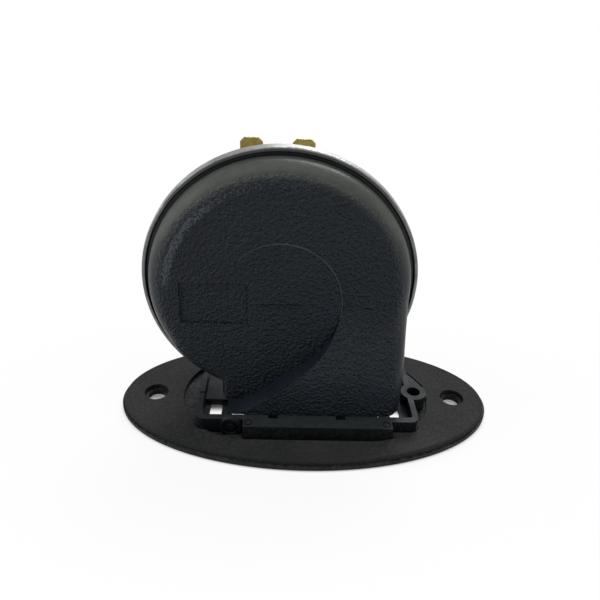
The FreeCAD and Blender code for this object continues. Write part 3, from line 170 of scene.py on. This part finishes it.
class Material:
    """Builds one node material; each call adds nodes and gives back the output to use next."""

    def __init__(self, name):
        self.material = bpy.data.materials.new(name)
        self.material.use_nodes = True
        self.tree = self.material.node_tree
        self.shader = self.tree.nodes["Principled BSDF"]

    def put(self, socket, value):
        if isinstance(value, bpy.types.NodeSocket):
            self.tree.links.new(value, socket)
        elif isinstance(value, tuple) and len(value) == 3 and socket.type == "RGBA":
            socket.default_value = (*value, 1.0)
        else:
            socket.default_value = value

    def node(self, kind, inputs=None, output=0, **settings):
        made = self.tree.nodes.new(kind)
        for key, value in settings.items():
            setattr(made, key, value)
        for key, value in (inputs or {}).items():
            self.put(made.inputs[key], value)
        return made.outputs[output]

    def math(self, operation, a, b=0.0):
        return self.node("ShaderNodeMath", {0: a, 1: b}, operation=operation)

    def times(self, *factors):
        product = factors[0]
        for factor in factors[1:]:
            product = self.math("MULTIPLY", product, factor)
        return product

    def place(self):
        return self.node("ShaderNodeTexCoord", output="Object")

    def axes(self, vector):
        split = self.tree.nodes.new("ShaderNodeSeparateXYZ")
        self.tree.links.new(vector, split.inputs[0])
        return split.outputs[0], split.outputs[1], split.outputs[2]

    def from_horn_axis(self):
        """Offsets across and up from the horn's axis, and the distance from it in millimetres."""
        x, _, z = self.axes(self.place())
        across = self.math("SUBTRACT", x, HORN_X)
        up = self.math("SUBTRACT", z, HORN_Z)
        squares = self.math("ADD", self.times(across, across), self.times(up, up))
        return across, up, self.math("DIVIDE", self.math("SQRT", squares), MM)

    def facing(self):
        """The three parts of the surface's own normal."""
        return self.axes(self.node("ShaderNodeNewGeometry", output="Normal"))

    def noise(self, size_mm, detail=2.0, rough=0.5, output="Fac"):
        inputs = {
            "Vector": self.place(),
            "Scale": 1.0 / (size_mm * MM),
            "Detail": detail,
            "Roughness": rough,
        }
        return self.node("ShaderNodeTexNoise", inputs, output=output)

    def cells(self, size_mm, feature="F1", vector=None):
        inputs = {"Vector": vector or self.place(), "Scale": 1.0 / (size_mm * MM)}
        return self.node("ShaderNodeTexVoronoi", inputs, output="Distance", feature=feature)

    def step(self, value, low, high, to_low=0.0, to_high=1.0):
        """Smooth change from to_low to to_high while the value goes from low to high."""
        inputs = {
            "Value": value,
            "From Min": low,
            "From Max": high,
            "To Min": to_low,
            "To Max": to_high,
        }
        return self.node("ShaderNodeMapRange", inputs, interpolation_type="SMOOTHSTEP")

    def band(self, value, low, middle_low, middle_high, high):
        """One between the two middle values, none outside low and high."""
        rise = self.step(value, low, middle_low)
        fall = self.step(value, middle_high, high, 1.0, 0.0)
        return self.times(rise, fall)

    def mix(self, factor, a, b):
        made = self.tree.nodes.new("ShaderNodeMix")
        made.data_type = "RGBA"
        for index, value in ((0, factor), (6, a), (7, b)):
            self.put(made.inputs[index], value)
        return made.outputs[2]

    def bump(self, height, depth_mm):
        inputs = {"Height": height, "Distance": depth_mm * MM, "Strength": 1.0}
        return self.node("ShaderNodeBump", inputs)

    def edge_wear_and_highlight(self, low=0.52, high=0.60):
        """High along outer edges, broken up by noise: rubbed edges and a painted edge highlight."""
        edge = self.node("ShaderNodeNewGeometry", output="Pointiness")
        return self.times(self.step(edge, low, high), self.step(self.noise(1.1, 3.0), 0.4, 0.65))

    def finish(self, color=None, rough=None, normal=None, metal=0.0, gloss=0.5):
        values = {
            "Base Color": color,
            "Roughness": rough,
            "Normal": normal,
            "Metallic": metal,
            "Specular IOR Level": gloss,
        }
        for key, value in values.items():
            if value is not None:
                self.put(self.shader.inputs[key], value)
        return self.material


def moulded_plastic(
    name, dark, light, rough, grain_mm=0.35, grain_depth=0.012, gloss=0.4, worn_and_highlight=None, dusty_and_top_lit=None
):
    """Satin plastic: fine even grain, uneven tone, rubbed edges with a painted edge highlight, and
    dust with painted top light on what faces up.
    """
    m = Material(name)
    tone = m.step(m.noise(9.0, 3.0), 0.3, 0.7)
    color = m.mix(tone, dark, light)
    if dusty_and_top_lit is not None:
        patches = m.step(m.noise(1.6, 4.0, 0.6), 0.2, 0.8, 0.5, 1.0)
        # dust and painted top light: lighter where the surface faces up
        lying = m.times(m.step(m.facing()[2], 0.35, 0.95), patches)
        color = m.mix(lying, color, dusty_and_top_lit)
    if worn_and_highlight is not None:
        # rubbed edges with a painted edge highlight
        color = m.mix(m.times(m.edge_wear_and_highlight(), 0.6), color, worn_and_highlight)
    roughness = m.step(m.noise(4.0, 2.0), 0.3, 0.7, rough - 0.06, rough + 0.06)
    return m.finish(color, roughness, m.bump(m.noise(grain_mm, 2.0), grain_depth), gloss=gloss)


def grained_shell(name):
    """Charcoal plastic: leather grain in front, a painted highlight on the smooth shoulder and a
    worn ring that is partly a painted highlight.
    """
    m = Material(name)
    across, up, radius = m.from_horn_axis()
    angle = m.math("DEGREES", m.math("ARCTAN2", across, up))
    front_face, top_face = m.facing()[1:]
    forward = m.math("MULTIPLY", front_face, -1.0)

    # Leather grain: rounded cells of two sizes, warped by noise, only where the wall faces forward
    warp = m.noise(1.3, 2.0, output="Color")
    shift = m.node("ShaderNodeVectorMath", {0: warp, "Scale": GRAIN_WARP * MM}, operation="SCALE")
    warped = m.node("ShaderNodeVectorMath", {0: m.place(), 1: shift}, operation="ADD")
    coarse = m.times(m.cells(GRAIN_COARSE, "SMOOTH_F1", warped), GRAIN_COARSE_SHARE)
    fine = m.times(m.cells(GRAIN_FINE, "F1", warped), 1.0 - GRAIN_COARSE_SHARE)
    grain = m.math("ADD", coarse, fine)
    grained = m.step(forward, *GRAIN_FACING, GRAIN_LEFT, 1.0)
    leather = m.bump(m.times(grain, grained), GRAIN_DEPTH)

    # Tone: slightly uneven charcoal, a little greyer where the grain's cells meet
    tone = m.step(m.noise(11.0, 3.0), 0.3, 0.7)
    color = m.mix(tone, CHARCOAL_DARK, CHARCOAL_LIGHT)
    valley = m.times(m.step(grain, 0.30, 0.62), grained)
    color = m.mix(m.times(valley, 0.35), color, VALLEY)

    # Painted highlight: lighter olive-grey on the smooth shoulder where it faces up, standing in
    # for the overhead light's sheen, not on the step's face below
    turned_away = m.step(forward, 0.90, 0.998, 1.0, 0.0)
    on_shoulder = m.step(radius, SHOULDER_FROM, SHOULDER_FULL)
    smooth = m.times(turned_away, on_shoulder, m.step(up, SHOULDER_LOW * MM, SHOULDER_HIGH * MM))
    upward = m.step(top_face, -0.10, 0.55)
    highlight_patches = m.step(m.noise(2.5, 4.0, 0.6), 0.25, 0.75, 0.75, 1.0)
    color = m.mix(m.times(smooth, upward, highlight_patches), color, SHOULDER_PAINTED_HIGHLIGHT)

    # Worn ring where the front turns into the shoulder, partly a painted highlight, strongest at
    # the upper left where the left light falls, and specks
    inner = (WEAR_AND_HIGHLIGHT_RADIUS - WEAR_AND_HIGHLIGHT_FADE_IN, WEAR_AND_HIGHLIGHT_RADIUS - WEAR_AND_HIGHLIGHT_FLAT)
    outer = (WEAR_AND_HIGHLIGHT_RADIUS + WEAR_AND_HIGHLIGHT_FLAT, WEAR_AND_HIGHLIGHT_RADIUS + WEAR_AND_HIGHLIGHT_FADE_OUT)
    ring = m.band(radius, *inner, *outer)
    arc = m.band(angle, *WEAR_AND_HIGHLIGHT_ARC)
    strong = m.band(angle, *WEAR_AND_HIGHLIGHT_STRONG_ARC)
    amount = m.times(ring, m.math("ADD", m.times(arc, 0.5), m.times(strong, 0.5)))
    rubbed = m.math("ADD", m.noise(0.55, 3.0, 0.65), m.times(amount, 0.22))
    worn_and_highlight = m.times(m.step(rubbed, 0.60, 0.74), ring, arc)
    color = m.mix(m.times(worn_and_highlight, 0.75), color, WORN_RING_AND_HIGHLIGHT)
    specks = m.times(m.step(m.cells(2.1), 0.12, 0.03), m.step(m.noise(12.0, 2.0), 0.53, 0.66))
    color = m.mix(m.times(specks, 0.6), color, SPECK)
    rough = m.step(m.noise(3.0, 3.0), 0.3, 0.7, 0.34, 0.44)
    return m.finish(color, rough, leather, gloss=0.20)


def plated_steel(name, light=ZINC_LIGHT, dark=ZINC_DARK, rough=0.38, lip=False):
    """Plated or turned steel: clouded tone, fine grain, dull spots and, on the can, painted shade
    on the lip's front and a painted shadow in its groove.
    """
    m = Material(name)
    cloud = m.step(m.noise(5.0, 4.0, 0.6), 0.3, 0.7)
    spots = m.step(m.noise(1.2, 3.0), 0.58, 0.7)
    color = m.mix(m.times(spots, 0.35), m.mix(cloud, dark, light), ZINC_SPOT)
    if lip:
        up, radius = m.from_horn_axis()[1:]
        # painted shade: the lip's forward-facing front darker, more so towards the top
        front = m.step(m.facing()[1], -0.85, -0.35, 1.0, 0.0)
        top = m.step(up, LIP_SHADE_FROM * MM, LIP_SHADE_TO * MM, 0.55, 0.95)
        color = m.mix(m.times(front, top), color, LIP_PAINTED_SHADE)
        # painted shadow: near-black in the groove inside the rolled lip
        depth = m.math("SUBTRACT", m.axes(m.place())[1], RIM_LOW.y)
        groove_shadow = m.step(depth, GROOVE_DEPTH * MM, GROOVE_END * MM, 0.97, 0.0)
        groove_shadow = m.times(groove_shadow, m.step(radius, GROOVE_RADIUS, GROOVE_EDGE, 1.0, 0.0))
        color = m.mix(groove_shadow, color, GROOVE_PAINTED_SHADOW)
    roughness = m.step(cloud, 0.0, 1.0, rough + 0.1, rough - 0.05)
    return m.finish(color, roughness, m.bump(m.noise(0.25, 3.0, 0.7), 0.006), metal=1.0)


def brass(name):
    """Stamped brass, dulled to olive in places, with fine rolling marks."""
    m = Material(name)
    stain = m.step(m.noise(3.0, 4.0, 0.65), 0.35, 0.65)
    color = m.mix(stain, (0.48, 0.385, 0.120), (0.76, 0.61, 0.21))
    roughness = m.step(stain, 0.0, 1.0, 0.50, 0.34)
    return m.finish(color, roughness, m.bump(m.noise(0.3, 3.0), 0.008), metal=1.0)


def foam_gasket(name):
    """Closed-cell foam: matte, with fine pores and a little sandy dust."""
    m = Material(name)
    pores = m.cells(0.42, "SMOOTH_F1")
    fine = m.noise(0.25, 3.0, 0.7)
    height = m.math("ADD", m.times(pores, 0.6), m.times(fine, 0.4))
    cloud = m.step(m.noise(12.0, 4.0, 0.6), 0.3, 0.7)
    color = m.mix(cloud, (0.015, 0.0165, 0.0165), (0.024, 0.025, 0.0235))
    dust = m.step(m.noise(0.45, 4.0, 0.8), 0.55, 0.75)
    color = m.mix(m.times(dust, 0.40), color, (0.10, 0.10, 0.09))
    # rubbed edges with a painted edge highlight on the foam
    color = m.mix(m.times(m.edge_wear_and_highlight(0.50, 0.56), 0.35), color, (0.045, 0.046, 0.044))
    return m.finish(color, 0.85, m.bump(height, 0.12), gloss=0.15)


def copper_winding(name):
    """Enamelled copper wire in close turns along the coil."""
    m = Material(name)
    along = m.axes(m.place())[1]
    turns = m.math("SINE", m.times(along, 2.0 * math.pi / (0.45 * MM)))
    tone = m.step(m.noise(2.0, 2.0), 0.3, 0.7)
    color = m.mix(tone, (0.32, 0.10, 0.03), (0.45, 0.16, 0.05))
    return m.finish(color, 0.3, m.bump(turns, 0.08), metal=1.0)


def pressed_fibre(name):
    """Brown laminated insulating board with a mottled face."""
    m = Material(name)
    mottle = m.step(m.noise(1.2, 4.0, 0.6), 0.35, 0.65)
    color = m.mix(mottle, (0.045, 0.022, 0.010), (0.085, 0.045, 0.022))
    return m.finish(color, 0.6, m.bump(m.noise(0.3), 0.02), gloss=0.3)


shell = grained_shell("shell_leather_grain")
black_plastic = moulded_plastic(
    "plate_black", (0.0060, 0.0066, 0.0072), (0.0100, 0.0108, 0.0115), 0.60, gloss=0.15,
    worn_and_highlight=PLATE_WORN_EDGE_AND_HIGHLIGHT
)
collar_plastic = moulded_plastic(
    "collar_dark", (0.0030, 0.0045, 0.0060), (0.0055, 0.0075, 0.0090), 0.58, gloss=0.12,
    worn_and_highlight=COLLAR_WORN_EDGE_AND_HIGHLIGHT, dusty_and_top_lit=COLLAR_DUST_AND_TOP_LIGHT
)
# painted highlight: the spiral ridge is a lighter plastic where it catches the light
line_highlight_plastic = moulded_plastic(
    "line_painted_highlight", (0.020, 0.026, 0.033), (0.032, 0.040, 0.049), 0.42
)
inner_plastic = moulded_plastic(
    "back_plate_charcoal", (0.008, 0.009, 0.010), (0.012, 0.013, 0.014), 0.5
)
rubber = moulded_plastic(
    "seal_rubber", (0.010, 0.010, 0.010), (0.016, 0.016, 0.016), 0.75,
    grain_mm=0.2, grain_depth=0.02, gloss=0.3
)
zinc = plated_steel("can_zinc")
rim_zinc = plated_steel("can_zinc_rolled", lip=True)
turned_steel = plated_steel("turned_steel", (0.52, 0.51, 0.49), (0.34, 0.33, 0.32), 0.30)
spring_steel = plated_steel("diaphragm_steel", (0.46, 0.46, 0.46), (0.34, 0.34, 0.35), 0.24)
tab_brass = brass("tab_brass")
gasket_foam = foam_gasket("gasket_foam")
winding = copper_winding("coil_copper")
fibre = pressed_fibre("fibre_board")

FINISHES = {
    shell: ["trumpet_front"],
    black_plastic: ["face_plate"],
    gasket_foam: ["gasket"],
    collar_plastic: ["mount_collar"],
    inner_plastic: ["trumpet_back", "coil_bobbin"],
    rubber: ["front_seal_ring", "rear_seal_ring"],
    rim_zinc: ["coil_can"],
    zinc: ["stud_washer", "stud_lock_washer", "stud_nut"],
    turned_steel: [
        "armature", "armature_nut", "diaphragm_front_washer", "diaphragm_rear_washer",
        "fixed_core", "pole_plate", "adjusting_screw",
    ],
    spring_steel: ["diaphragm"],
    tab_brass: [
        "terminal_left", "terminal_right", "terminal_rivets", "breaker_rivet",
        "contact_arm", "contact_leaf", "contact_points",
    ],
    winding: ["coil_winding"],
    fibre: ["terminal_block", "terminal_washers", "breaker_insulators"],
}
for material, names in FINISHES.items():
    for name in names:
        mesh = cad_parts[name].data
        mesh.materials.clear()
        mesh.materials.append(material)


def link_seen(tree, socket_in, ray_names, scale_from, scale_to):
    """Gives the socket scale_to for the named kinds of ray and scale_from for all others."""
    path = tree.nodes.new("ShaderNodeLightPath")
    seen = path.outputs[ray_names[0]]
    for ray in [path.outputs[name] for name in ray_names[1:]]:
        add = tree.nodes.new("ShaderNodeMath")
        add.operation = "ADD"
        add.use_clamp = True
        tree.links.new(seen, add.inputs[0])
        tree.links.new(ray, add.inputs[1])
        seen = add.outputs[0]
    span = tree.nodes.new("ShaderNodeMapRange")
    tree.links.new(seen, span.inputs["Value"])
    for key, value in (("To Min", scale_from), ("To Max", scale_to)):
        if isinstance(value, bpy.types.NodeSocket):
            tree.links.new(value, span.inputs[key])
        else:
            span.inputs[key].default_value = value
    tree.links.new(span.outputs[0], socket_in)


def floor_material():
    """Pale floor: white further off, glowing white under the grille's front as painted light, its
    own shade elsewhere.
    """
    m = Material("floor_pale")
    m.finish(FLOOR_TONE, 0.9, gloss=0.1)
    x, y = m.axes(m.place())[:2]
    along = m.math("DIVIDE", x, OVAL_HALF_LENGTH)
    wide = m.math("DIVIDE", y, OVAL_HALF_WIDTH)
    reach = m.math("SQRT", m.math("ADD", m.times(along, along), m.times(wide, wide)))
    near = m.step(reach, *OVAL_EDGE_REACH, 0.0, FLOOR_NEAR_GLOW)
    rest = FLOOR_FAR_GLOW - FLOOR_NEAR_GLOW
    far = m.step(reach, OVAL_EDGE_REACH[1], FLOOR_FAR_REACH, 0.0, rest)
    # painted light: the floor under the grille glows white in place of its shade
    between_holes = m.step(m.math("ABSOLUTE", along), *GRILLE_SIDES, 1.0, 0.0)
    in_front = m.step(wide, *GRILLE_BACK, 1.0, 0.0)
    grille = m.times(between_holes, in_front, m.step(reach, *GRILLE_RIM, FLOOR_NEAR_GLOW, 0.0))
    glow = m.tree.nodes.new("ShaderNodeEmission")
    glow.inputs["Strength"].default_value = 1.0
    both = m.tree.nodes.new("ShaderNodeMixShader")
    rays = ("Is Camera Ray", "Is Glossy Ray", "Is Transmission Ray")
    link_seen(m.tree, both.inputs[0], rays, 0.0, m.math("ADD", m.math("ADD", near, far), grille))
    m.put(both.inputs[1], m.shader.outputs[0])
    m.put(both.inputs[2], glow.outputs[0])
    m.put(m.tree.nodes["Material Output"].inputs["Surface"], both.outputs[0])
    return m.material


def make_spiral_line():
    """Low ridge that carries the trumpet's step on round its disc until it dies out."""
    shell_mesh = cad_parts["trumpet_front"].data
    points = [corner.co for corner in shell_mesh.vertices]
    surface = BVHTree.FromPolygons(points, [face.vertices[:] for face in shell_mesh.polygons])
    corners = []
    for index in range(LINE_SECTIONS + 1):
        part = index / LINE_SECTIONS
        degrees = LINE_FIRST + (LINE_LAST - LINE_FIRST) * part
        turned = math.radians(max(degrees - SPIRAL_FROM, 0.0))
        middle = SPIRAL_RADIUS + SPIRAL_GROWTH * turned ** 3
        height = LINE_HEIGHT * min(1.0, LINE_FIRST_SHARE + LINE_RISE * part)
        profile = ((-LINE_HALF_WIDTH, -LINE_SINK), (0.0, height), (LINE_HALF_WIDTH, -LINE_SINK))
        for aside, rise in profile:
            x = HORN_X + (middle + aside) * math.sin(math.radians(degrees)) * MM
            z = HORN_Z + (middle + aside) * math.cos(math.radians(degrees)) * MM
            start = Vector((x, cad_low.y - RAY_RUN_UP * MM, z))
            hit = surface.ray_cast(start, Vector((0.0, 1.0, 0.0)))[0]
            corners.append((x, hit.y - rise * MM, z))
    faces = [(0, 1, 2), (3 * LINE_SECTIONS + 2, 3 * LINE_SECTIONS + 1, 3 * LINE_SECTIONS)]
    for index in range(LINE_SECTIONS):
        first = 3 * index
        for side in range(3):
            other = (side + 1) % 3
            faces.append((first + side, first + 3 + side, first + 3 + other, first + other))
    mesh = bpy.data.meshes.new("spiral_line")
    mesh.from_pydata(corners, [], faces)
    # lighter plastic on the ridge as a painted highlight
    mesh.materials.append(line_highlight_plastic)
    line = bpy.data.objects.new("spiral_line", mesh)
    bpy.context.scene.collection.objects.link(line)
    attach(line, "horn")


def make_floor():
    half = FLOOR_HALF_SIZE
    mesh = bpy.data.meshes.new("floor")
    corners = [(-half, -half, 0.0), (half, -half, 0.0), (half, half, 0.0), (-half, half, 0.0)]
    mesh.from_pydata(corners, [], [(0, 1, 2, 3)])
    mesh.materials.append(floor_material())
    floor = bpy.data.objects.new("floor", mesh)
    bpy.context.scene.collection.objects.link(floor)


def area_light(name, place, target, width, height, radiance):
    """Rectangular soft light of a given brightness, aimed at a target."""
    lamp = bpy.data.lights.new(name, "AREA")
    lamp.shape = "RECTANGLE"
    lamp.size = width
    lamp.size_y = height
    lamp.energy = radiance * math.pi * width * height
    holder = bpy.data.objects.new(name, lamp)
    holder.location = place
    holder.rotation_euler = (Vector(target) - Vector(place)).to_track_quat("-Z", "Y").to_euler()
    bpy.context.scene.collection.objects.link(holder)


def make_world():
    world = bpy.data.worlds.new("studio")
    bpy.context.scene.world = world
    world.use_nodes = True
    tree = world.node_tree
    tree.nodes["Background"].inputs["Color"].default_value = (1.0, 1.0, 1.0, 1.0)
    path = tree.nodes.new("ShaderNodeLightPath")
    mirrored = tree.nodes.new("ShaderNodeMapRange")
    mirrored.inputs["To Min"].default_value = WORLD_GLOW
    mirrored.inputs["To Max"].default_value = METAL_GLOW
    tree.links.new(path.outputs["Is Glossy Ray"], mirrored.inputs["Value"])
    rays = ("Is Camera Ray", "Is Transmission Ray")
    link_seen(tree, tree.nodes["Background"].inputs["Strength"], rays, mirrored.outputs[0], 1.0)


def make_camera():
    forward = Vector((
        math.sin(CAMERA_TURN) * math.cos(CAMERA_DOWN),
        math.cos(CAMERA_TURN) * math.cos(CAMERA_DOWN),
        -math.sin(CAMERA_DOWN),
    ))
    level = Vector((math.cos(CAMERA_TURN), -math.sin(CAMERA_TURN), 0.0))
    upright = level.cross(forward)
    right = math.cos(CAMERA_ROLL) * level + math.sin(CAMERA_ROLL) * upright
    up = -math.sin(CAMERA_ROLL) * level + math.cos(CAMERA_ROLL) * upright
    turn = Matrix((right, up, -forward)).transposed().to_4x4()
    data = bpy.data.cameras.new("camera")
    data.sensor_width = SENSOR_MM
    data.lens = SENSOR_MM * FOCAL_PIXELS / IMAGE_PIXELS
    data.clip_start = 0.005
    camera = bpy.data.objects.new("camera", data)
    camera.matrix_world = Matrix.Translation(CAMERA_PLACE) @ turn
    bpy.context.scene.collection.objects.link(camera)
    bpy.context.scene.camera = camera


make_spiral_line()
make_floor()
make_world()
for light in LIGHTS:
    area_light(*light)
make_camera()
bpy.context.scene.view_settings.view_transform = "Standard"
